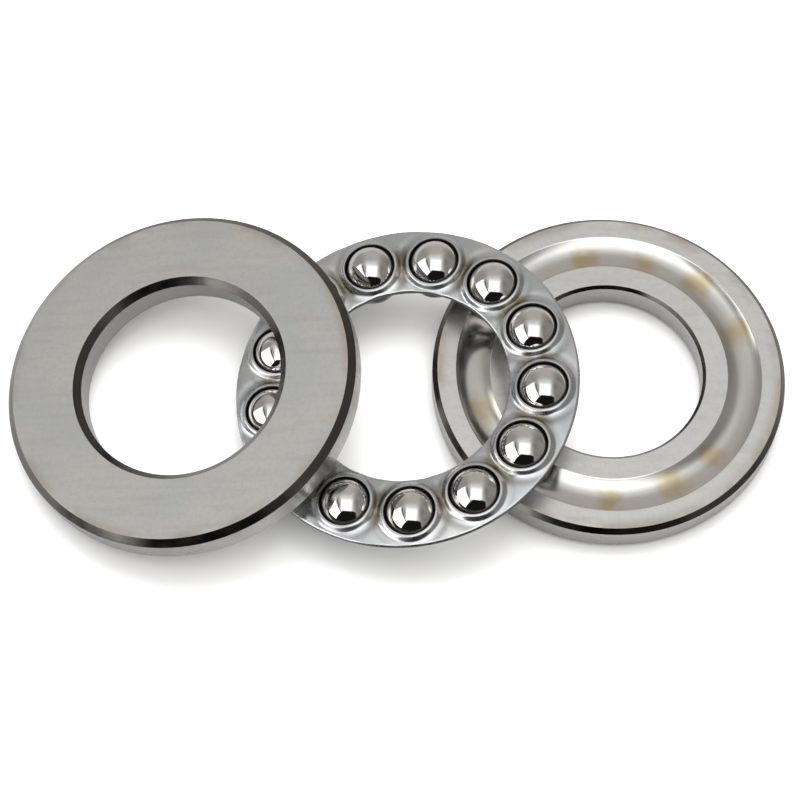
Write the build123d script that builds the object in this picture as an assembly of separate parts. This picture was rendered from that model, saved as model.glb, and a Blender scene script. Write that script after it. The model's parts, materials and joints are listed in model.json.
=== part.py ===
from build123d import *
from math import asin, cos, radians, sin, sqrt
import os

# Single direction thrust ball bearing, 25 x 47 x 15 mm, taken apart: the shaft washer lies flat,
# groove up, the cage with its balls leans on it, and the housing washer leans on the cage, back up.
# Millimetres, +Z up. The pieces stand on Z = 0, and the origin is the middle of their footprint.

# The standard sizes of the bearing
SHAFT_BORE = 25.0
HOUSING_BORE = 27.0
OUTSIDE = 47.0
STACKED_HEIGHT = 15.0

# Balls
BALL = 7.144
BALL_COUNT = 13
PITCH_RADIUS = (SHAFT_BORE + OUTSIDE) / 4 + 0.1

# Raceway grooves
GROOVE_RADIUS = 0.54 * BALL
GROOVE_HALF_WIDTH = 2.28
STEEL_UNDER_BALL = (STACKED_HEIGHT - BALL) / 2
GROOVE_DEPTH = GROOVE_RADIUS - sqrt(GROOVE_RADIUS**2 - GROOVE_HALF_WIDTH**2)
WASHER_THICKNESS = STEEL_UNDER_BALL + GROOVE_DEPTH

# Corner chamfers of the washers
FACE_RIM_CHAMFER = 0.65
FACE_BORE_CHAMFER = 0.42
BACK_CHAMFER = 0.9

# Pressed steel cage
CAGE_OUTER_RADIUS = 22.8
CAGE_INNER_RADIUS = 13.6
CAGE_PLATE_TOP = 1.55
CAGE_PLATE_BOTTOM = 0.85
CAGE_RIM_BOTTOM = 0.65
CAGE_RIM_WIDTH = 0.7
CAGE_RIM_ROUND = 0.45
COLLAR_HEIGHT = 2.0
COLLAR_BASE_RADIUS = 4.28
COLLAR_TOP_RADIUS = 3.75
POCKET_CLEARANCE = 0.08
POCKET_MOUTH_RADIUS = 3.32
MOUTH_OVERCUT = 1.0

# Where the loose pieces lie, counted from the shaft washer's axis. A lean is the angle between a
# ring's axis and +Z, and a bearing is the direction in XY that the axis leans to, counted from +X.
TABLE_GAP = 0.05
FIRST_BALL_ANGLE = 80.0
CAGE_PLACE = (-26.72, -4.95)
CAGE_LEAN = 9.85
CAGE_BEARING = 189.5
HOUSING_PLACE = (-56.6, -6.0)
HOUSING_LEAN = 12.85
HOUSING_BEARING = 193.5

ball_radius = BALL / 2
outer_radius = OUTSIDE / 2


def leaning_plane(centre, lean, bearing):
    """The plane of a ring, its origin on the ring's axis and its Z along that axis."""
    lean = radians(lean)
    bearing = radians(bearing)
    axis = Vector(sin(lean) * cos(bearing), sin(lean) * sin(bearing), cos(lean))
    across = Vector(1, 0, 0) - axis * axis.X
    return Plane(origin=centre, x_dir=across, z_dir=axis)


def cage_plane():
    """The plane through the ball centres: the lowest ball rests on the table."""
    height = ball_radius + TABLE_GAP + PITCH_RADIUS * sin(radians(CAGE_LEAN))
    return leaning_plane((*CAGE_PLACE, height), CAGE_LEAN, CAGE_BEARING)


def housing_plane():
    """The plane of the housing washer's back: the edge of its grooved face rests on the table."""
    lean = radians(HOUSING_LEAN)
    on_face_edge = WASHER_THICKNESS * cos(lean) + (outer_radius - FACE_RIM_CHAMFER) * sin(lean)
    on_rim_edge = (WASHER_THICKNESS - FACE_RIM_CHAMFER) * cos(lean) + outer_radius * sin(lean)
    height = max(on_face_edge, on_rim_edge)
    return leaning_plane((*HOUSING_PLACE, height), HOUSING_LEAN, HOUSING_BEARING)


def washer(bore_radius):
    """A raceway washer standing on its flat back at Z = 0, with its groove up."""
    half_angle = asin(GROOVE_HALF_WIDTH / GROOVE_RADIUS)
    arc_centre_z = STEEL_UNDER_BALL + GROOVE_RADIUS
    groove = [
        (PITCH_RADIUS + GROOVE_RADIUS * sin(a), arc_centre_z - GROOVE_RADIUS * cos(a))
        for a in (-half_angle, 0, half_angle)
    ]
    rim_top = WASHER_THICKNESS - FACE_RIM_CHAMFER
    bore_top = WASHER_THICKNESS - FACE_BORE_CHAMFER
    with BuildPart() as ring:
        with BuildSketch(Plane.XZ):
            with BuildLine():
                ThreePointArc(*groove)
                Polyline(
                    groove[2],
                    (outer_radius - FACE_RIM_CHAMFER, WASHER_THICKNESS),
                    (outer_radius, rim_top),
                    (outer_radius, BACK_CHAMFER),
                    (outer_radius - BACK_CHAMFER, 0),
                    (bore_radius + BACK_CHAMFER, 0),
                    (bore_radius, BACK_CHAMFER),
                    (bore_radius, bore_top),
                    (bore_radius + FACE_BORE_CHAMFER, WASHER_THICKNESS),
                    groove[0],
                )
            make_face()
        revolve(axis=Axis.Z)
    return ring.part


def ball_angle(index):
    """Where a ball sits round the cage, in degrees. The balls are numbered clockwise from above."""
    return FIRST_BALL_ANGLE - index * 360 / BALL_COUNT


def ball_place(index):
    """A ball's centre in the cage's own plane."""
    angle = radians(ball_angle(index))
    return Location((PITCH_RADIUS * cos(angle), PITCH_RADIUS * sin(angle), 0))


def cage_blank():
    """The cage's plate, with its outer and inner edges turned down, before the pockets."""
    rim_inside = CAGE_OUTER_RADIUS - CAGE_RIM_WIDTH
    lip_outside = CAGE_INNER_RADIUS + CAGE_RIM_WIDTH
    with BuildPart() as blank:
        with BuildSketch(Plane.XZ) as profile:
            with BuildLine():
                Polyline(
                    (CAGE_INNER_RADIUS, CAGE_PLATE_TOP),
                    (CAGE_OUTER_RADIUS, CAGE_PLATE_TOP),
                    (CAGE_OUTER_RADIUS, CAGE_RIM_BOTTOM),
                    (rim_inside, CAGE_RIM_BOTTOM),
                    (rim_inside, CAGE_PLATE_BOTTOM),
                    (lip_outside, CAGE_PLATE_BOTTOM),
                    (lip_outside, CAGE_RIM_BOTTOM),
                    (CAGE_INNER_RADIUS, CAGE_RIM_BOTTOM),
                    close=True,
                )
            make_face()
            upper_corners = profile.vertices().group_by(Axis.Y)[-1]
            fillet(upper_corners, CAGE_RIM_ROUND)
        revolve(axis=Axis.Z)
    return blank.part


def cage():
    """The one-piece cage: a collared pocket for each ball, whose two mouths are narrower than the ball."""
    upper = Pos(0, 0, COLLAR_HEIGHT / 2) * Cone(COLLAR_BASE_RADIUS, COLLAR_TOP_RADIUS, COLLAR_HEIGHT)
    lower = Pos(0, 0, -COLLAR_HEIGHT / 2) * Cone(COLLAR_TOP_RADIUS, COLLAR_BASE_RADIUS, COLLAR_HEIGHT)
    mouths = Cylinder(POCKET_MOUTH_RADIUS, 2 * COLLAR_HEIGHT + MOUTH_OVERCUT)
    body = cage_blank()
    for index in range(BALL_COUNT):
        body += ball_place(index) * upper
        body += ball_place(index) * lower
    for index in range(BALL_COUNT):
        body -= ball_place(index) * Sphere(ball_radius + POCKET_CLEARANCE)
        body -= ball_place(index) * mouths
    return body


def ball(index):
    """One ball, turned so that the poles of its surface lie on its rolling axis."""
    radial = Rotation(0, 90, 0)
    turned = Rotation(0, 0, ball_angle(index)) * radial
    return ball_place(index) * turned * Sphere(ball_radius)


def all_pieces():
    """Every piece by name, where it lies beside the shaft washer."""
    upside_down = Rotation(180, 0, 0)
    on_cage = cage_plane().location
    pieces = {
        "shaft_washer": washer(SHAFT_BORE / 2),
        "housing_washer": housing_plane().location * upside_down * washer(HOUSING_BORE / 2),
        "cage": on_cage * cage(),
    }
    for index in range(BALL_COUNT):
        pieces[f"ball_{index + 1:02d}"] = on_cage * ball(index)
    return pieces


def footprint_middle(pieces):
    """The middle of the set's outline, seen from above."""
    boxes = [piece.bounding_box() for piece in pieces.values()]
    middle_x = (min(box.min.X for box in boxes) + max(box.max.X for box in boxes)) / 2
    middle_y = (min(box.min.Y for box in boxes) + max(box.max.Y for box in boxes)) / 2
    return Vector(middle_x, middle_y, 0)


os.makedirs("parts", exist_ok=True)

pieces = all_pieces()
middle = footprint_middle(pieces)
for name, piece in pieces.items():
    placed = Pos(-middle.X, -middle.Y, 0) * piece
    placed.label = name
    export_step(placed, f"parts/{name}.step")
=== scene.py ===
import json
from math import acos, asin, atan2, cos, exp, hypot, pi, radians, sin, sqrt, tan

import bmesh
import bpy
from mathutils import Matrix, Vector

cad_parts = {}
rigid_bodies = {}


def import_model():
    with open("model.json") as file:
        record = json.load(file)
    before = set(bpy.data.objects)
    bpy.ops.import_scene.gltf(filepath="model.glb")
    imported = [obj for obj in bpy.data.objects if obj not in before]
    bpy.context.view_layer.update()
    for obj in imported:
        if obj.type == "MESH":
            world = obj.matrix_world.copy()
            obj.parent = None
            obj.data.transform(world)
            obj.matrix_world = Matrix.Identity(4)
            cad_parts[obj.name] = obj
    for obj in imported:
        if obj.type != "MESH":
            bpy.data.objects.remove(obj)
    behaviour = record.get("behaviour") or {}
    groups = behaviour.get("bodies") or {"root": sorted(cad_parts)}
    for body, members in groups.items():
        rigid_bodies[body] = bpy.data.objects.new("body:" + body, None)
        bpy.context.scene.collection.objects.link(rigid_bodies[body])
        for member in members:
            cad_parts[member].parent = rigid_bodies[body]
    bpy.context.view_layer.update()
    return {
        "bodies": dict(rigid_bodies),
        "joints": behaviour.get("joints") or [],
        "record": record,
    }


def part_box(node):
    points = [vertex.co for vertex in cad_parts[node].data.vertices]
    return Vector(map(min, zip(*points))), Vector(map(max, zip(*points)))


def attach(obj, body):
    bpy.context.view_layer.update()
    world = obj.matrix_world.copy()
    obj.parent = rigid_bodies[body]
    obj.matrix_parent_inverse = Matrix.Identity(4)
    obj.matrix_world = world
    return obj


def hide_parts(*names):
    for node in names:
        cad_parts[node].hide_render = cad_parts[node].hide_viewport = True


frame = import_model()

MM = 0.001

# What the frame says
joints = {joint["name"]: joint for joint in frame["joints"]}
mounts = {mount["name"]: mount for mount in frame["record"]["mounts"]}
ball_names = sorted(name for name in frame["bodies"] if name.startswith("ball_"))


def joint_place(name):
    return Vector(joints[name]["pos_m"]) / MM


def joint_axis(name):
    return Vector(joints[name]["axis"]).normalized()


def ring_frame(centre, axis, towards):
    """A ring's own frame as a matrix in millimetres: Z along its axis, X towards a given point."""
    z = axis.normalized()
    x = (towards - z * towards.dot(z)).normalized()
    y = z.cross(x)
    rotation = Matrix((x, y, z)).transposed().to_4x4()
    return Matrix.Translation(centre) @ rotation


cage_centre = joint_place("cage_spin")
cage_axis = joint_axis("cage_spin")
first_ball = joint_place(ball_names[0] + "_spin")
CAGE_FRAME = ring_frame(cage_centre, cage_axis, first_ball - cage_centre)

housing_centre = joint_place("housing_washer_spin")
housing_axis = joint_axis("housing_washer_spin")
UPSIDE_DOWN = Matrix.Rotation(pi, 4, "X")
HOUSING_FRAME = ring_frame(housing_centre, housing_axis, Vector((1, 0, 0))) @ UPSIDE_DOWN

shaft_bore_place = Vector(mounts["shaft_bore"]["pos_m"]) / MM
SHAFT_FRAME = Matrix.Translation((shaft_bore_place.x, shaft_bore_place.y, 0))

# Sizes in millimetres that the frame states, and the ball's radius, which is given
BALL_COUNT = len(ball_names)
PITCH_RADIUS = (first_ball - cage_centre).length
OUTER_RADIUS = mounts["housing_washer_rim"]["dims"]["r_mm"]
SHAFT_BORE_RADIUS = mounts["shaft_bore"]["dims"]["r_mm"]
HOUSING_BORE_RADIUS = mounts["housing_bore"]["dims"]["r_mm"]
washer_low, washer_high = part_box("shaft_washer")
THICKNESS = (washer_high.z - washer_low.z) / MM
BALL_RADIUS = 3.572

# Sizes in millimetres that repeat the design
GROOVE_RADIUS = 1.08 * BALL_RADIUS
GROOVE_HALF_WIDTH = 2.28
FACE_RIM_CHAMFER = 0.65
FACE_BORE_CHAMFER = 0.42
BACK_CHAMFER = 0.9
CAGE_OUTER_RADIUS = 22.8
CAGE_INNER_RADIUS = 13.6
CAGE_PLATE_TOP = 1.55
CAGE_PLATE_BOTTOM = 0.85
CAGE_RIM_BOTTOM = 0.65
COLLAR_HEIGHT = 2.0
POCKET_MOUTH_RADIUS = 3.32


# Meshes
def add_piece(name, points, faces, slots, materials, place):
    """A smooth piece from points in millimetres in its own frame, which its patterns keep to."""
    mesh = bpy.data.meshes.new(name)
    mesh.from_pydata([(place @ Vector(p)) * MM for p in points], [], faces)
    own_places = mesh.attributes.new("own_place", "FLOAT_VECTOR", "POINT")
    own_places.data.foreach_set("vector", [value for point in points for value in point])
    for material in materials:
        mesh.materials.append(material)
    mesh.polygons.foreach_set("material_index", slots)
    mesh.polygons.foreach_set("use_smooth", [True] * len(mesh.polygons))
    piece = bpy.data.objects.new(name, mesh)
    bpy.context.scene.collection.objects.link(piece)
    return piece


def clean_normals(piece, merge_mm=0.0005):
    """Joins points that meet and turns every face outwards."""
    work = bmesh.new()
    work.from_mesh(piece.data)
    bmesh.ops.remove_doubles(work, verts=work.verts, dist=merge_mm * MM)
    bmesh.ops.recalc_face_normals(work, faces=work.faces)
    work.to_mesh(piece.data)
    work.free()


def rounded_corner(before, corner, after, radius, steps=4):
    """The corner of a profile as an arc, with a point on each flat just before it."""
    c = Vector(corner)
    to_before = (Vector(before) - c).normalized()
    to_after = (Vector(after) - c).normalized()
    half = acos(max(-1, min(1, to_before.dot(to_after)))) / 2
    reach = radius * cos(half) / sin(half)
    centre = c + (to_before + to_after).normalized() * radius / sin(half)
    start = c + to_before * reach - centre
    turn = pi - 2 * half
    side = 1 if start.x * to_before.y - start.y * to_before.x < 0 else -1
    points = [c + to_before * (reach + radius)]
    for step in range(steps + 1):
        a = side * turn * step / steps
        turned_x = start.x * cos(a) - start.y * sin(a)
        turned_y = start.x * sin(a) + start.y * cos(a)
        points.append(centre + Vector((turned_x, turned_y)))
    points.append(c + to_after * (reach + radius))
    return points


# The finishes of a washer, by their place in its list of materials
LAND, GROOVE, CHAMFER, WALL, BORE = range(5)
EDGE_ROUND = 0.05
GROOVE_STEPS = 28


def washer_profile(bore_radius):
    """The section of a washer as (radius, height, finish of the stretch that starts there)."""
    half_angle = asin(GROOVE_HALF_WIDTH / GROOVE_RADIUS)
    arc_centre = THICKNESS + GROOVE_RADIUS * cos(half_angle)
    inner_edge = PITCH_RADIUS - GROOVE_HALF_WIDTH
    outer_edge = PITCH_RADIUS + GROOVE_HALF_WIDTH
    corners = [
        ((outer_edge, THICKNESS), LAND),
        ((OUTER_RADIUS - FACE_RIM_CHAMFER, THICKNESS), CHAMFER),
        ((OUTER_RADIUS, THICKNESS - FACE_RIM_CHAMFER), WALL),
        ((OUTER_RADIUS, BACK_CHAMFER), CHAMFER),
        ((OUTER_RADIUS - BACK_CHAMFER, 0), LAND),
        ((bore_radius + BACK_CHAMFER, 0), CHAMFER),
        ((bore_radius, BACK_CHAMFER), BORE),
        ((bore_radius, THICKNESS - FACE_BORE_CHAMFER), CHAMFER),
        ((bore_radius + FACE_BORE_CHAMFER, THICKNESS), LAND),
        ((inner_edge, THICKNESS), GROOVE),
    ]
    section = [(outer_edge + EDGE_ROUND, THICKNESS, LAND)]
    for index in range(1, len(corners) - 1):
        before = corners[index - 1][0]
        corner, finish = corners[index]
        after = corners[index + 1][0]
        arc = rounded_corner(before, corner, after, EDGE_ROUND)
        old = corners[index - 1][1]
        middle = len(arc) // 2
        section += [(p.x, p.y, old if n < middle else finish) for n, p in enumerate(arc)]
    section.append((inner_edge - EDGE_ROUND, THICKNESS, LAND))
    for step in range(GROOVE_STEPS + 1):
        a = -half_angle + 2 * half_angle * step / GROOVE_STEPS
        radius = PITCH_RADIUS + GROOVE_RADIUS * sin(a)
        height = arc_centre - GROOVE_RADIUS * cos(a)
        section.append((radius, height, GROOVE if step < GROOVE_STEPS else LAND))
    return section


TURNS = 360


def washer(name, bore_radius, materials, place):
    """A raceway washer turned from its section, on its back at Z = 0 in its own frame."""
    section = washer_profile(bore_radius)
    count = len(section)
    points, faces, slots = [], [], []
    for turn in range(TURNS):
        a = 2 * pi * turn / TURNS
        points += [(r * cos(a), r * sin(a), z) for r, z, _ in section]
    for turn in range(TURNS):
        here, there = turn * count, (turn + 1) % TURNS * count
        for n in range(count):
            m = (n + 1) % count
            faces.append((here + n, there + n, there + m, here + m))
            slots.append(section[n][2])
    piece = add_piece(name, points, faces, slots, materials, place)
    clean_normals(piece)
    return piece


# The finishes of the cage, by their place in its list of materials. The pocket's, the cut edge's and the
# underside's are darker as painted shade
SHEET, POCKET_SHADE, CUT_SHADE, SHADED_UNDERSIDE = range(4)
LIP_TOP_WIDTH = 0.25
LIP_FOOT = 4.30
LIP_ROUND = 0.13
LIP_STEPS = 4
VALLEY_RADIUS = 4.75
VALLEY_WIDTH = 0.55
VALLEY_DEPTH = 0.09
PLATE_CROWN = 0.34
RIM_ROUND = 0.36
RIM_INSET = 0.8
CAVITY_RADIUS = 3.80
MOUTH_DEPTH = 1.45
# The way from a pocket's mouth to its cavity, as (radius, depth past the mouth)
CAVITY_STEP = (
    (POCKET_MOUTH_RADIUS, 0.0),
    (POCKET_MOUTH_RADIUS + 0.06, 0.12),
    (CAVITY_RADIUS - 0.08, 0.27),
    (CAVITY_RADIUS, 0.45),
)
# The foot of a turned-down edge, as (distance in from the edge, height above the foot)
RIM_FOOT = ((0, 0.12), (0.04, 0.03), (0.12, 0), (0.58, 0), (0.66, 0.04), (0.70, 0.12))

# How finely the cage's surfaces are divided: along the sides of a pocket's share, from its mouth
# outwards, and round an edge, whose first rows have the sheet's finish and the others the cut's,
# which is darker with painted shade
OUTER_STEPS, SIDE_STEPS, INNER_STEPS = 44, 38, 24
UPPER_RAY_STEPS, LOWER_RAY_STEPS = 18, 10
RAY_CROWDING = 1.4
ROUND_STEPS = 6
SHEARED_FROM = 4


def smooth_step(low, high, value):
    t = max(0.0, min(1.0, (value - low) / (high - low)))
    return t * t * (3 - 2 * t)


def upper_collar(distance):
    """How far the upper surface stands above its plate at a distance from a ball's centre."""
    rise = COLLAR_HEIGHT - CAGE_PLATE_TOP
    height = rise * (1 - smooth_step(POCKET_MOUTH_RADIUS + LIP_TOP_WIDTH, LIP_FOOT, distance))
    past = (distance - VALLEY_RADIUS) / VALLEY_WIDTH
    return height - VALLEY_DEPTH * exp(-past * past) - lip_drop(distance)


def lower_collar(distance):
    """How far the lower surface hangs below its plate at a distance from a ball's centre."""
    drop = COLLAR_HEIGHT + CAGE_PLATE_BOTTOM
    height = drop * (1 - smooth_step(POCKET_MOUTH_RADIUS + LIP_TOP_WIDTH, LIP_FOOT, distance))
    return height - lip_drop(distance)


def lip_drop(distance):
    """The round on the inner edge of a lip."""
    inside = max(0.0, POCKET_MOUTH_RADIUS + LIP_ROUND - distance)
    return LIP_ROUND - sqrt(max(0.0, LIP_ROUND**2 - inside**2))


def cage_height(side, x, y):
    """The height of the cage's upper (side 1) or lower (side -1) surface, near the pocket on +X."""
    pitch = 2 * pi / BALL_COUNT
    raised = 0.0
    for neighbour in (-1, 0, 1):
        a = neighbour * pitch
        away = hypot(x - PITCH_RADIUS * cos(a), y - PITCH_RADIUS * sin(a))
        raised += upper_collar(away) if side > 0 else lower_collar(away)
    if side < 0:
        return CAGE_PLATE_BOTTOM - raised
    off_middle = (hypot(x, y) - PITCH_RADIUS) / (CAGE_OUTER_RADIUS - PITCH_RADIUS)
    return CAGE_PLATE_TOP + raised - PLATE_CROWN * abs(off_middle)**3


def sector_outline(inner, outer):
    """The outline of one pocket's share of the ring, as points, starting on the outer arc."""
    half = pi / BALL_COUNT
    outline = []
    for n in range(OUTER_STEPS):
        a = -half + 2 * half * n / OUTER_STEPS
        outline.append((outer * cos(a), outer * sin(a)))
    for n in range(SIDE_STEPS):
        r = outer + (inner - outer) * n / SIDE_STEPS
        outline.append((r * cos(half), r * sin(half)))
    for n in range(INNER_STEPS):
        a = half - 2 * half * n / INNER_STEPS
        outline.append((inner * cos(a), inner * sin(a)))
    for n in range(SIDE_STEPS):
        r = inner + (outer - inner) * n / SIDE_STEPS
        outline.append((r * cos(half), -r * sin(half)))
    return outline


def pocket_share(side, ray_steps, inner, outer):
    """One pocket's share of the cage's upper (side 1) or lower (side -1) surface, as rings of points."""
    rings = []
    outline = sector_outline(inner, outer)
    steps = [(LIP_ROUND * step / LIP_STEPS, 0) for step in range(LIP_STEPS)]
    steps += [(LIP_ROUND, (step / ray_steps) ** RAY_CROWDING) for step in range(ray_steps + 1)]
    for inset, along in steps:
        ring = []
        for x, y in outline:
            reach = hypot(x - PITCH_RADIUS, y)
            start = (POCKET_MOUTH_RADIUS + inset) / reach
            away = start + (1 - start) * along
            px = PITCH_RADIUS + (x - PITCH_RADIUS) * away
            py = y * away
            ring.append((px, py, cage_height(side, px, py)))
        rings.append(ring)
    return rings


def pocket_wall(upper, lower):
    """The hollow of a pocket: a straight mouth at each face and a wider cavity between them."""
    upper_half = [(r, MOUTH_DEPTH - depth) for r, depth in CAVITY_STEP]
    lower_half = [(r, -z) for r, z in reversed(upper_half)]
    section = upper_half + [(CAVITY_RADIUS, 0.0)] + lower_half
    rings = []
    for r, z in section:
        ring = []
        for x, y, _ in upper:
            out = atan2(y, x - PITCH_RADIUS)
            ring.append((PITCH_RADIUS + r * cos(out), r * sin(out), z))
        rings.append(ring)
    return [upper] + rings + [lower]


def rim_steps(start_radius, edge_radius, start_height, side_sign):
    """The turned-down edge of the cage from its upper surface: a round, then a plain wall and its foot."""
    steps = []
    for n in range(1, ROUND_STEPS + 1):
        a = pi / 2 * n / ROUND_STEPS
        r = start_radius + (edge_radius - start_radius) * sin(a)
        steps.append((r, start_height - RIM_ROUND * (1 - cos(a))))
    for reach, rise in RIM_FOOT:
        steps.append((edge_radius - side_sign * reach, CAGE_RIM_BOTTOM + rise))
    return steps


def rim_rows(upper_edge, lower_edge, start_radius, edge_radius, side_sign):
    """The rows of points of one turned-down edge, from the upper surface round to the lower one."""
    columns = []
    for x, y, z in upper_edge:
        columns.append((atan2(y, x), rim_steps(start_radius, edge_radius, z, side_sign)))
    rows = [upper_edge]
    for step in range(len(columns[0][1])):
        rows.append([(c[step][0] * cos(a), c[step][0] * sin(a), c[step][1]) for a, c in columns])
    rows.append(lower_edge)
    return rows


def turned(rows, turn):
    """Rows of points, turned about the ring's axis."""
    c, s = cos(turn), sin(turn)
    return [[(x * c - y * s, x * s + y * c, z) for x, y, z in row] for row in rows]


def cage(name, materials, place):
    """The pressed cage: for each pocket its two surfaces, its hollow and its share of the edges."""
    points, faces, slots = [], [], []

    def add_strip(rows, closed, slot):
        """Quads between rows of points."""
        first = len(points)
        width = len(rows[0])
        for row in rows:
            points.extend(row)
        for r in range(len(rows) - 1):
            for n in range(width if closed else width - 1):
                m = (n + 1) % width
                a = first + r * width
                faces.append((a + n, a + m, a + width + m, a + width + n))
                slots.append(slot)

    outer_top, inner_top = CAGE_OUTER_RADIUS - RIM_ROUND, CAGE_INNER_RADIUS + RIM_ROUND
    outer_low, inner_low = CAGE_OUTER_RADIUS - RIM_INSET, CAGE_INNER_RADIUS + RIM_INSET
    upper = pocket_share(1, UPPER_RAY_STEPS, inner_top, outer_top)
    lower = pocket_share(-1, LOWER_RAY_STEPS, inner_low, outer_low)
    wall = pocket_wall(upper[0], lower[0])
    outer_arc = slice(0, OUTER_STEPS + 1)
    inner_arc = slice(OUTER_STEPS + SIDE_STEPS, OUTER_STEPS + SIDE_STEPS + INNER_STEPS + 1)
    edges = [
        rim_rows(upper[-1][outer_arc], lower[-1][outer_arc], outer_top, CAGE_OUTER_RADIUS, 1),
        rim_rows(upper[-1][inner_arc], lower[-1][inner_arc], inner_top, CAGE_INNER_RADIUS, -1),
    ]
    for pocket in range(BALL_COUNT):
        turn = -2 * pi * pocket / BALL_COUNT
        # The round of each lip and the pocket's hollow take the pocket's dark painted shade
        add_strip(turned(upper[:LIP_STEPS], turn), True, POCKET_SHADE)
        add_strip(turned(upper[LIP_STEPS - 1:], turn), True, SHEET)
        add_strip(turned(lower, turn), True, SHADED_UNDERSIDE)
        add_strip(turned(wall, turn), True, POCKET_SHADE)
        for rows in edges:
            add_strip(turned(rows[:SHEARED_FROM + 1], turn), False, SHEET)
            add_strip(turned(rows[SHEARED_FROM:], turn), False, CUT_SHADE)
    piece = add_piece(name, points, faces, slots, materials, place)
    clean_normals(piece, 0.002)
    return piece


BALL_STEPS = 22


def grid_line(step):
    """Where a grid line crosses a cube's face, so that the lines are even on the ball."""
    return tan(pi / 2 * (step / BALL_STEPS - 0.5))


def ball(name, material, place):
    """A ball as six even patches of quads, blown up onto the sphere."""
    points, faces = [], []
    for axis in range(3):
        for side in (-1, 1):
            first = len(points)
            for row in range(BALL_STEPS + 1):
                for column in range(BALL_STEPS + 1):
                    corner = [0, 0, 0]
                    corner[axis] = side
                    corner[(axis + 1) % 3] = grid_line(row)
                    corner[(axis + 2) % 3] = grid_line(column)
                    points.append(Vector(corner).normalized() * BALL_RADIUS)
            for row in range(BALL_STEPS):
                for column in range(BALL_STEPS):
                    a = first + row * (BALL_STEPS + 1) + column
                    faces.append((a, a + 1, a + BALL_STEPS + 2, a + BALL_STEPS + 1))
    piece = add_piece(name, points, faces, [0] * len(faces), [material], place)
    clean_normals(piece)
    return piece


# Materials
class Nodes:
    """A node tree, and the few kinds of node that its patterns are made of."""

    def __init__(self, tree):
        self.tree = tree

    def node(self, kind, **settings):
        made = self.tree.nodes.new(kind)
        for key, value in settings.items():
            setattr(made, key, value)
        return made

    def link(self, source, target):
        self.tree.links.new(source, target)

    def math(self, operation, a, b=0.0):
        made = self.node("ShaderNodeMath", operation=operation)
        for socket, value in zip(made.inputs, (a, b)):
            if isinstance(value, (int, float)):
                socket.default_value = value
            else:
                self.link(value, socket)
        return made.outputs[0]

    def spread(self, value, low, high, to_low=0.0, to_high=1.0):
        made = self.node("ShaderNodeMapRange", interpolation_type="SMOOTHSTEP")
        made.inputs["From Min"].default_value = low
        made.inputs["From Max"].default_value = high
        made.inputs["To Min"].default_value = to_low
        made.inputs["To Max"].default_value = to_high
        self.link(value, made.inputs["Value"])
        return made.outputs["Result"]

    def mix(self, factor, a, b):
        made = self.node("ShaderNodeMix", data_type="RGBA")
        self.link(factor, made.inputs["Factor"])
        for socket, value in ((made.inputs[6], a), (made.inputs[7], b)):
            if isinstance(value, tuple):
                socket.default_value = (*value, 1)
            else:
                self.link(value, socket)
        return made.outputs[2]

    def mix_shaders(self, factor, a, b):
        made = self.node("ShaderNodeMixShader")
        self.link(factor, made.inputs["Fac"])
        self.link(a, made.inputs[1])
        self.link(b, made.inputs[2])
        return made.outputs[0]


class Surface(Nodes):
    """A Principled metal, with patterns that keep to its piece."""

    def __init__(self, name, colour, roughness):
        self.material = bpy.data.materials.new(name)
        self.material.use_nodes = True
        super().__init__(self.material.node_tree)
        self.shader = self.tree.nodes["Principled BSDF"]
        self.shader.inputs["Metallic"].default_value = 1.0
        self.shader.inputs["Base Color"].default_value = (*colour, 1)
        self.shader.inputs["Roughness"].default_value = roughness
        self.place = self.node("ShaderNodeAttribute", attribute_name="own_place").outputs["Vector"]

    def distance(self, point):
        made = self.node("ShaderNodeVectorMath", operation="DISTANCE")
        self.link(self.place, made.inputs[0])
        made.inputs[1].default_value = point
        return made.outputs["Value"]

    def noise(self, per_mm, detail=3.0, place=None, rough=0.5):
        made = self.node("ShaderNodeTexNoise")
        made.inputs["Scale"].default_value = per_mm
        made.inputs["Detail"].default_value = detail
        made.inputs["Roughness"].default_value = rough
        self.link(place or self.place, made.inputs["Vector"])
        return made.outputs["Fac"]

    def stretched(self, angle, along, across):
        """Places turned about Z and squeezed, so that a noise runs in streaks."""
        made = self.node("ShaderNodeMapping")
        made.inputs["Rotation"].default_value = (0, 0, angle)
        made.inputs["Scale"].default_value = (along, across, 1)
        self.link(self.place, made.inputs["Vector"])
        return made.outputs["Vector"]

    def round_place(self, around, outwards):
        """Places as (turn about the ring's axis, radius, height), so that a noise runs round the ring."""
        parts = self.node("ShaderNodeSeparateXYZ")
        self.link(self.place, parts.inputs[0])
        x, y, z = parts.outputs
        turn = self.math("ARCTAN2", y, x)
        squares = self.math("ADD", self.math("POWER", x, 2.0), self.math("POWER", y, 2.0))
        radius = self.math("SQRT", squares)
        made = self.node("ShaderNodeCombineXYZ")
        self.link(self.math("MULTIPLY", turn, around), made.inputs["X"])
        self.link(self.math("MULTIPLY", radius, outwards), made.inputs["Y"])
        self.link(self.math("MULTIPLY", z, outwards), made.inputs["Z"])
        return made.outputs["Vector"]

    def bump(self, height, strength, depth_mm):
        made = self.node("ShaderNodeBump")
        made.inputs["Strength"].default_value = strength
        made.inputs["Distance"].default_value = depth_mm * MM
        self.link(height, made.inputs["Height"])
        self.link(made.outputs["Normal"], self.shader.inputs["Normal"])

    def colour(self, socket):
        self.link(socket, self.shader.inputs["Base Color"])

    def roughness(self, socket):
        self.link(socket, self.shader.inputs["Roughness"])


RIM_TINT = (0.46, 0.36, 0.27)
# How far in from the rim the browning begins and is full
BROWNED_FROM, BROWNED_TO = 2.3, 0.7


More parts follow.
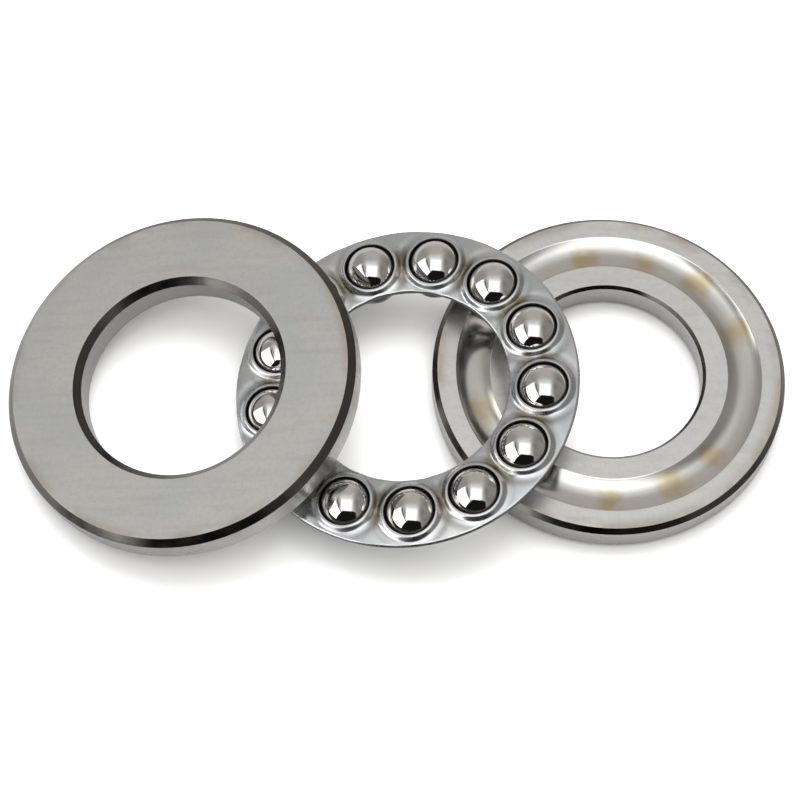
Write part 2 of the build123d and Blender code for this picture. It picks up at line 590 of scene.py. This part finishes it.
def ground_steel(name, warm, cool, roughness, streak_angle, face_height):
    """A flat ground face: fine speckle, faint cloudy tints, soft straight streaks and a browned rim."""
    s = Surface(name, warm, roughness)
    clouds = s.spread(s.noise(0.10, 2.0), 0.38, 0.62)
    streaks = s.noise(1.0, 3.0, s.stretched(streak_angle, 0.10, 0.9))
    speckle = s.noise(5.5, 4.0, rough=0.7)
    darker = tuple(0.80 * c for c in warm)
    tint = s.mix(clouds, warm, cool)
    tint = s.mix(s.spread(streaks, 0.42, 0.75, 0.0, 0.50), tint, darker)
    tint = s.mix(s.spread(speckle, 0.45, 0.75, 0.0, 0.60), tint, darker)
    tint = s.mix(s.spread(s.noise(1.6, 3.0, rough=0.6), 0.42, 0.70, 0.0, 0.40), tint, darker)
    from_axis = s.distance((0, 0, face_height))
    near_rim = s.spread(from_axis, OUTER_RADIUS - BROWNED_FROM, OUTER_RADIUS - BROWNED_TO, 0.0, 0.55)
    browned = s.math("MULTIPLY", near_rim, s.spread(s.noise(0.13, 3.0), 0.42, 0.62))
    s.colour(s.mix(browned, tint, RIM_TINT))
    s.roughness(s.spread(speckle, 0.3, 0.7, roughness - 0.06, roughness + 0.08))
    s.bump(s.math("ADD", speckle, streaks), 0.25, 0.010)
    return s.material


def ring_steel(name, colour, dark, roughness, line_bump):
    """A turned or ground edge, with fine lines that run round the ring."""
    s = Surface(name, colour, roughness)
    lines = s.noise(1.0, 4.0, s.round_place(1.5, 14.0))
    clouds = s.noise(0.25, 2.0)
    s.colour(s.mix(s.spread(lines, 0.35, 0.75), colour, dark))
    s.roughness(s.spread(clouds, 0.3, 0.7, roughness - 0.05, roughness + 0.07))
    s.bump(lines, line_bump, 0.008)
    return s.material


# Straw-coloured painted reflections in the groove, as (degrees round the ring, radius, size)
STRAW_REFLECTIONS = (
    (101, 17.3, 2.6),
    (74, 17.5, 2.8),
    (50, 18.6, 3.0),
    (22, 18.4, 3.2),
    (-40, 17.7, 2.4),
    (-62, 18.0, 3.0),
    (-90, 18.8, 2.4),
    (-160, 18.0, 3.0),
)
REFLECTION_SPOT_DEPTH = 0.5


def raceway_steel():
    """The lapped groove: near mirror, with faint running lines and straw-coloured painted reflections."""
    plain, reflected_straw = (0.70, 0.69, 0.665), (0.60, 0.48, 0.27)
    s = Surface("raceway_steel", plain, 0.30)
    s.shader.inputs["Anisotropic"].default_value = 0.6
    s.shader.inputs["Anisotropic Rotation"].default_value = 0.25
    round_ring = s.node("ShaderNodeTangent", direction_type="RADIAL", axis="Z")
    s.link(round_ring.outputs["Tangent"], s.shader.inputs["Tangent"])
    lines = s.noise(1.0, 3.0, s.round_place(1.0, 9.0))
    ragged = s.spread(s.noise(0.6, 1.0), 0.25, 0.75, -0.5, 0.5)
    reflection_mask = None
    for degrees, radius, size in STRAW_REFLECTIONS:
        middle = (radius * cos(radians(degrees)), radius * sin(radians(degrees)), THICKNESS - REFLECTION_SPOT_DEPTH)
        away = s.math("ADD", s.distance(middle), ragged)
        one_reflection = s.spread(away, 0.15 * size, size, 1.0, 0.0)
        reflection_mask = one_reflection if reflection_mask is None else s.math("MAXIMUM", reflection_mask, one_reflection)
    tint = s.mix(s.math("MULTIPLY", reflection_mask, 0.85), plain, reflected_straw)
    s.colour(s.mix(s.spread(lines, 0.4, 0.8, 0.0, 0.25), tint, (0.56, 0.55, 0.54)))
    s.roughness(s.spread(s.noise(0.5, 3.0), 0.3, 0.7, 0.17, 0.22))
    s.bump(lines, 0.12, 0.006)
    return s.material


def pressed_steel(name, shade):
    """The cage's smooth bluish sheet, with brown painted shade where two collars meet. The shade makes all
    of it darker, as painted shade.
    """
    tones = ((0.66, 0.665, 0.67), (0.58, 0.61, 0.63), (0.22, 0.185, 0.115), (0.48, 0.49, 0.50))
    plain, blue, valley_shade_brown, dull = [tuple(shade * c for c in tone) for tone in tones]
    s = Surface(name, plain, 0.27)
    tint = s.mix(s.spread(s.noise(0.16, 2.0), 0.35, 0.65), plain, blue)
    valley_shade = s.node("ShaderNodeAttribute", attribute_name="valley_shade").outputs["Fac"]
    patchy_valley_shade = s.math("MULTIPLY", valley_shade, s.spread(s.noise(0.45, 3.0), 0.3, 0.6, 0.35, 1.0))
    tint = s.mix(patchy_valley_shade, tint, valley_shade_brown)
    fine = s.noise(3.5, 4.0, rough=0.6)
    s.colour(s.mix(s.spread(fine, 0.5, 0.8, 0.0, 0.30), tint, dull))
    s.roughness(s.spread(s.noise(0.6, 3.0), 0.3, 0.7, 0.23, 0.32))
    s.bump(s.noise(0.35, 1.0), 0.4, 0.020)
    return s.material


def cut_edge_painted_shade():
    """The sheared edge of the cage's sheet, rougher than its face and darker as painted shade."""
    s = Surface("cut_edge_painted_shade", (0.15, 0.148, 0.145), 0.36)
    lines = s.noise(1.0, 3.0, s.round_place(3.0, 6.0))
    s.colour(s.mix(s.spread(lines, 0.35, 0.7), (0.17, 0.168, 0.165), (0.10, 0.098, 0.095)))
    s.bump(lines, 0.2, 0.01)
    return s.material


def pocket_painted_shade():
    """The unlit inside of a pocket, painted dark as painted shade."""
    s = Surface("pocket_painted_shade", (0.10, 0.095, 0.09), 0.45)
    s.colour(s.mix(s.noise(1.5, 3.0), (0.07, 0.065, 0.06), (0.14, 0.135, 0.13)))
    return s.material


def ball_steel():
    """A lapped ball: a mirror, with only the faintest haze."""
    plain = (0.76, 0.745, 0.725)
    s = Surface("ball_steel", plain, 0.04)
    haze = s.noise(0.9, 3.0)
    s.colour(s.mix(s.spread(haze, 0.4, 0.75, 0.0, 0.5), plain, (0.68, 0.665, 0.645)))
    s.roughness(s.spread(haze, 0.3, 0.7, 0.030, 0.060))
    s.bump(s.noise(7.0, 3.0), 0.04, 0.004)
    return s.material


LAND_COLOURS = ((0.88, 0.867, 0.838), (0.83, 0.835, 0.82))
BACK_COLOURS = ((0.70, 0.68, 0.66), (0.63, 0.655, 0.645))
chamfer = ring_steel("turned_edge", (0.145, 0.135, 0.125), (0.085, 0.08, 0.073), 0.21, 0.2)
wall = ring_steel("ground_wall", (0.49, 0.478, 0.465), (0.38, 0.375, 0.365), 0.30, 0.3)
# The bore's wall is darker than the other walls, as painted shade inside the bore
painted_shade_bore = ring_steel("bored_wall_painted_shade", (0.32, 0.312, 0.305), (0.24, 0.235, 0.23), 0.32, 0.2)
raceway = raceway_steel()
land = ground_steel("ground_land", *LAND_COLOURS, 0.34, radians(-30), THICKNESS)
back = ground_steel("ground_back", *BACK_COLOURS, 0.36, radians(42), 0)

# Pieces
shaft_steels = [land, raceway, chamfer, wall, wall]
shaft_washer = washer("shaft_washer_turned", SHAFT_BORE_RADIUS, shaft_steels, SHAFT_FRAME)
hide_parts("shaft_washer")
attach(shaft_washer, "shaft_washer")

# The housing washer's bore takes the darker wall, which is painted shade
housing_steels = [back, raceway, chamfer, wall, painted_shade_bore]
housing_washer = washer("housing_washer_turned", HOUSING_BORE_RADIUS, housing_steels, HOUSING_FRAME)
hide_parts("housing_washer")
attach(housing_washer, "housing_washer")

# The cage's underside is the sheet made darker, as painted shade where it lies in shadow
UNDERSIDE_PAINTED_SHADE = 0.55
cage_steels = [
    pressed_steel("pressed_steel", 1.0),
    pocket_painted_shade(),
    cut_edge_painted_shade(),
    pressed_steel("pressed_underside_painted_shade", UNDERSIDE_PAINTED_SHADE),
]
cage_piece = cage("cage_pressed", cage_steels, CAGE_FRAME)
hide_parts("cage")
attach(cage_piece, "cage")


# Between two collars the sheet is painted a darker brown, as painted shade. The painted shade fades with
# the distance from the nearest ball and from the next one, and with the height above the plate.
NEAREST_FADE = (4.3, 6.0)
NEXT_FADE = (4.5, 6.2)
HEIGHT_FADE = (CAGE_PLATE_TOP + 0.15, CAGE_PLATE_TOP + 0.40)


def mark_valley_shade(piece):
    """Marks how deep each point of the cage lies between two collars, for its painted shade."""
    values = piece.data.attributes.new("valley_shade", "FLOAT", "POINT")
    pitch = 2 * pi / BALL_COUNT
    marks = []
    for own in piece.data.attributes["own_place"].data:
        x, y, z = own.vector
        radius = hypot(x, y)
        turn = atan2(y, x) / pitch
        to_nearest = abs(turn - round(turn)) * pitch
        mark = 1 - smooth_step(*HEIGHT_FADE, z)
        for angle, fade in ((to_nearest, NEAREST_FADE), (pitch - to_nearest, NEXT_FADE)):
            away = hypot(radius - PITCH_RADIUS * cos(angle), PITCH_RADIUS * sin(angle))
            mark *= 1 - smooth_step(*fade, away)
        marks.append(mark)
    values.data.foreach_set("value", marks)


mark_valley_shade(cage_piece)

ball_material = ball_steel()
for name in ball_names:
    centre = joint_place(name + "_spin")
    place = ring_frame(centre, joint_axis(name + "_spin"), cage_axis)
    piece = ball(name + "_lapped", ball_material, place)
    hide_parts(name)
    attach(piece, name)


# Floor, light and camera
FLOOR_SIZE = 3.0
# The share of black in what the polished pieces mirror of the sheet: all of it in front of SHEET_FRONT,
# MIRRORED_SHARE behind that, and BEHIND_SHARE more behind SHEET_BACK. The places are Y in metres.
SHEET_FRONT = (-0.040, -0.029)
SHEET_BACK = (0.014, 0.032)
MIRRORED_SHARE = 0.30
BEHIND_SHARE = 0.36
UNLIT_SHEET = (0.030, 0.028, 0.026, 1)


def pale_floor():
    """A plain white sheet. In reflections it is dimmer, and black in front, where the room is dark."""
    size = FLOOR_SIZE
    corners = [(-size, -size, 0), (size, -size, 0), (size, size, 0), (-size, size, 0)]
    mesh = bpy.data.meshes.new("floor")
    mesh.from_pydata(corners, [], [(0, 1, 2, 3)])
    floor = bpy.data.objects.new("floor", mesh)
    bpy.context.scene.collection.objects.link(floor)
    material = bpy.data.materials.new("white_sheet")
    material.use_nodes = True
    mesh.materials.append(material)
    sheet = Nodes(material.node_tree)
    shader = sheet.tree.nodes["Principled BSDF"]
    shader.inputs["Base Color"].default_value = (0.85, 0.85, 0.85, 1)
    shader.inputs["Roughness"].default_value = 0.9
    shader.inputs["Specular IOR Level"].default_value = 0.1
    shader.inputs["Emission Color"].default_value = (1, 1, 1, 1)
    shader.inputs["Emission Strength"].default_value = 0.02
    place = sheet.node("ShaderNodeTexCoord")
    parts = sheet.node("ShaderNodeSeparateXYZ")
    sheet.link(place.outputs["Object"], parts.inputs[0])
    in_front = sheet.spread(parts.outputs["Y"], *SHEET_FRONT, 1.0, MIRRORED_SHARE)
    behind = sheet.spread(parts.outputs["Y"], *SHEET_BACK, 0.0, BEHIND_SHARE)
    rays = sheet.node("ShaderNodeLightPath")
    mirrored = sheet.math("MULTIPLY", sheet.math("ADD", in_front, behind), rays.outputs["Is Glossy Ray"])
    unlit = sheet.node("ShaderNodeEmission")
    unlit.inputs["Color"].default_value = UNLIT_SHEET
    shown = sheet.mix_shaders(mirrored, shader.outputs[0], unlit.outputs[0])
    sheet.link(shown, sheet.tree.nodes["Material Output"].inputs["Surface"])


def direction(azimuth, elevation):
    """A direction from the object: azimuth 0 is to the front (-Y), positive to the right."""
    a, e = radians(azimuth), radians(elevation)
    return Vector((sin(a) * cos(e), -cos(a) * cos(e), sin(e)))


KEY_PLACE = (178, 62)
KEY_WIDTH, KEY_HEIGHT = 50, 40
KEY_RADIANCE = 3.4
KEY_DISTANCE = 0.6


def key_light():
    """A soft light panel above and behind, whose sides are in degrees of the sky. Nothing mirrors it."""
    light = bpy.data.lights.new("back_key", "AREA")
    light.shape = "RECTANGLE"
    light.size = 2 * KEY_DISTANCE * tan(radians(KEY_WIDTH / 2))
    light.size_y = 2 * KEY_DISTANCE * tan(radians(KEY_HEIGHT / 2))
    light.energy = KEY_RADIANCE * pi * light.size * light.size_y
    holder = bpy.data.objects.new("back_key", light)
    bpy.context.scene.collection.objects.link(holder)
    away = direction(*KEY_PLACE)
    holder.location = away * KEY_DISTANCE
    holder.rotation_mode = "QUATERNION"
    holder.rotation_quaternion = away.to_track_quat("Z", "Y")
    holder.visible_glossy = False


SKY_STOPS = (
    (0.00, (0.56, 0.525, 0.495)),
    (0.35, (0.50, 0.465, 0.435)),
    (0.75, (0.50, 0.480, 0.460)),
    (1.00, (0.55, 0.535, 0.520)),
)
FRONT_GREY = (0.30, 0.290, 0.280)
RIGHT_GREY = (0.30, 0.285, 0.270)
LEFT_GREY = (0.34, 0.325, 0.310)
DARK_DOOR = (0.010, 0.009, 0.008)
DOOR_EDGE = (0.61, 0.67)
DOOR_JAMB = (0.66, 0.60)
POST_NORMAL = (0.778, 0.125, 0.616)
POST_HALF = 0.045
POST_FRONT = (-0.25, -0.05)
FRONT, RIGHT, LEFT, ABOVE = (0, -1, 0), (1, 0, 0), (-1, 0, 0), (0, 0, 1)
FRONT_SPREAD = (-0.15, 0.35)
SIDE_SPREAD = (0.25, 0.70)
CURTAIN_SIDE = (0.9, -0.1, 0.4)
CURTAIN_SPREAD = (0.30, 0.80)
CURTAIN_GREY = (0.24, 0.23, 0.22)
# Lit patches, as (azimuth, elevation, width, height in degrees, radiance, softness of its four edges)
CEILING = (8, 77, 54, 74, 0.80, (0.16, 0.22, 0.02, 0.15))
LEFT_SCREEN = (-66, 14, 62, 62, 2.3, (0.06, 0.02, 0.03, 0.14))
UPPER_SCREEN = (-2, 70, 44, 46, 1.7, (0.03, 0.14, 0.02, 0.20))
# The light that falls on the sheet: a soft glow from above and a little from all round
OVERHEAD_FROM = (0.0, 0.20, 0.98)
OVERHEAD_SPREAD = (0.30, 0.95)
OVERHEAD_RADIANCE = 2.10
FILL_RADIANCE = 0.20


class Sky(Nodes):
    """The world's colour by direction, made of soft-edged patches laid over each other."""

    def __init__(self):
        world = bpy.data.worlds.new("room")
        bpy.context.scene.world = world
        world.use_nodes = True
        super().__init__(world.node_tree)
        self.away = self.node("ShaderNodeTexCoord").outputs["Generated"]
        self.shown = None

    def along(self, axis):
        made = self.node("ShaderNodeVectorMath", operation="DOT_PRODUCT")
        self.link(self.away, made.inputs[0])
        made.inputs[1].default_value = axis
        return made.outputs["Value"]

    def towards(self, axis, low, high):
        """A mask that rises from low to high along an axis."""
        return self.spread(self.along(axis), low, high)

    def both(self, a, b):
        return self.math("MULTIPLY", a, b)

    def cover(self, mask, colour):
        self.shown = self.mix(mask, self.shown, colour)

    def grey_dome(self):
        ramp = self.node("ShaderNodeValToRGB")
        self.link(self.along(ABOVE), ramp.inputs["Fac"])
        for index, element in ((0, ramp.color_ramp.elements[0]), (-1, ramp.color_ramp.elements[1])):
            element.position = SKY_STOPS[index][0]
            element.color = (*SKY_STOPS[index][1], 1)
        for position, colour in SKY_STOPS[1:-1]:
            ramp.color_ramp.elements.new(position).color = (*colour, 1)
        self.shown = ramp.outputs["Color"]

    def curtain(self):
        """Upright folds on one side of the room."""
        squeezed = self.node("ShaderNodeVectorMath", operation="MULTIPLY")
        squeezed.inputs[1].default_value = (1.0, 1.0, 0.12)
        self.link(self.away, squeezed.inputs[0])
        folds = self.node("ShaderNodeTexNoise")
        folds.inputs["Scale"].default_value = 2.6
        folds.inputs["Detail"].default_value = 0.0
        self.link(squeezed.outputs["Vector"], folds.inputs["Vector"])
        there = self.towards(CURTAIN_SIDE, *CURTAIN_SPREAD)
        self.cover(self.both(there, self.spread(folds.outputs["Fac"], 0.35, 0.75)), CURTAIN_GREY)

    def patch(self, azimuth, elevation, wide, high, radiance, edges):
        """A patch of wide by high degrees. Edges are how soft it is: left, right, below and above."""
        middle = direction(azimuth, elevation)
        right = Vector((cos(radians(azimuth)), sin(radians(azimuth)), 0))
        up = right.cross(middle) * -1
        mask = self.towards(middle, 0.0, 0.1)
        for axis, half, soft_low, soft_high in (
            (right, sin(radians(wide / 2)), edges[0], edges[1]),
            (up, sin(radians(high / 2)), edges[2], edges[3]),
        ):
            mask = self.both(mask, self.towards(axis, -half - soft_low, -half + soft_low))
            mask = self.both(mask, self.towards(axis, half + soft_high, half - soft_high))
        self.cover(mask, (radiance, radiance, 0.99 * radiance))

    def finish(self):
        """Reflections get the patches, the sheet a soft glow from overhead and the camera plain white."""
        mirrored = self.tree.nodes["Background"]
        self.link(self.shown, mirrored.inputs["Color"])
        plain = self.node("ShaderNodeBackground")
        plain.inputs["Color"].default_value = (1, 1, 1, 1)
        overhead = self.node("ShaderNodeBackground")
        overhead.inputs["Color"].default_value = (1.0, 0.995, 0.985, 1)
        above = self.towards(OVERHEAD_FROM, *OVERHEAD_SPREAD)
        strength = self.math("ADD", self.math("MULTIPLY", above, OVERHEAD_RADIANCE), FILL_RADIANCE)
        self.link(strength, overhead.inputs["Strength"])
        rays = self.node("ShaderNodeLightPath").outputs
        shown = self.mix_shaders(rays["Is Diffuse Ray"], mirrored.outputs[0], overhead.outputs[0])
        shown = self.mix_shaders(rays["Is Camera Ray"], shown, plain.outputs[0])
        self.link(shown, self.tree.nodes["World Output"].inputs["Surface"])


def room():
    """A dim grey room, lighter above, with a dark doorway in front and two lit screens beside it."""
    sky = Sky()
    sky.grey_dome()
    sky.cover(sky.towards(FRONT, *FRONT_SPREAD), FRONT_GREY)
    sky.cover(sky.towards(RIGHT, *SIDE_SPREAD), RIGHT_GREY)
    sky.cover(sky.towards(LEFT, *SIDE_SPREAD), LEFT_GREY)
    sky.curtain()
    sky.patch(*CEILING)
    sky.cover(sky.both(sky.towards(RIGHT, *DOOR_JAMB), sky.towards(FRONT, *DOOR_EDGE)), DARK_DOOR)
    sky.patch(*LEFT_SCREEN)
    sky.patch(*UPPER_SCREEN)
    off_post = sky.math("ABSOLUTE", sky.along(POST_NORMAL))
    in_post = sky.spread(off_post, POST_HALF, 0.4 * POST_HALF)
    sky.cover(sky.both(in_post, sky.towards(FRONT, *POST_FRONT)), DARK_DOOR)
    sky.finish()


CAMERA_ELEVATION = 63.87
CAMERA_ROLL = 2.435
CAMERA_DISTANCE = 350.0
CAMERA_LENS = 117.0
CAMERA_AIM = (-27.73, -1.882)


def camera():
    """The photograph's view. The aim is counted across and up the picture from the shaft washer's back."""
    e, roll = radians(CAMERA_ELEVATION), radians(CAMERA_ROLL)
    forward = Vector((0, cos(e), -sin(e)))
    right, up = Vector((1, 0, 0)), Vector((0, sin(e), cos(e)))
    right, up = right * cos(roll) + up * sin(roll), up * cos(roll) - right * sin(roll)
    start = SHAFT_FRAME.translation
    aim = start + right * CAMERA_AIM[0] + up * CAMERA_AIM[1]
    data = bpy.data.cameras.new("camera")
    data.lens = CAMERA_LENS
    data.sensor_width = 36.0
    data.clip_start, data.clip_end = 0.01, 20.0
    holder = bpy.data.objects.new("camera", data)
    bpy.context.scene.collection.objects.link(holder)
    rotation = Matrix((right, up, -forward)).transposed().to_4x4()
    holder.matrix_world = Matrix.Translation((aim - forward * CAMERA_DISTANCE) * MM) @ rotation
    bpy.context.scene.camera = holder


pale_floor()
room()
key_light()
camera()
bpy.context.scene.view_settings.view_transform = "Standard"
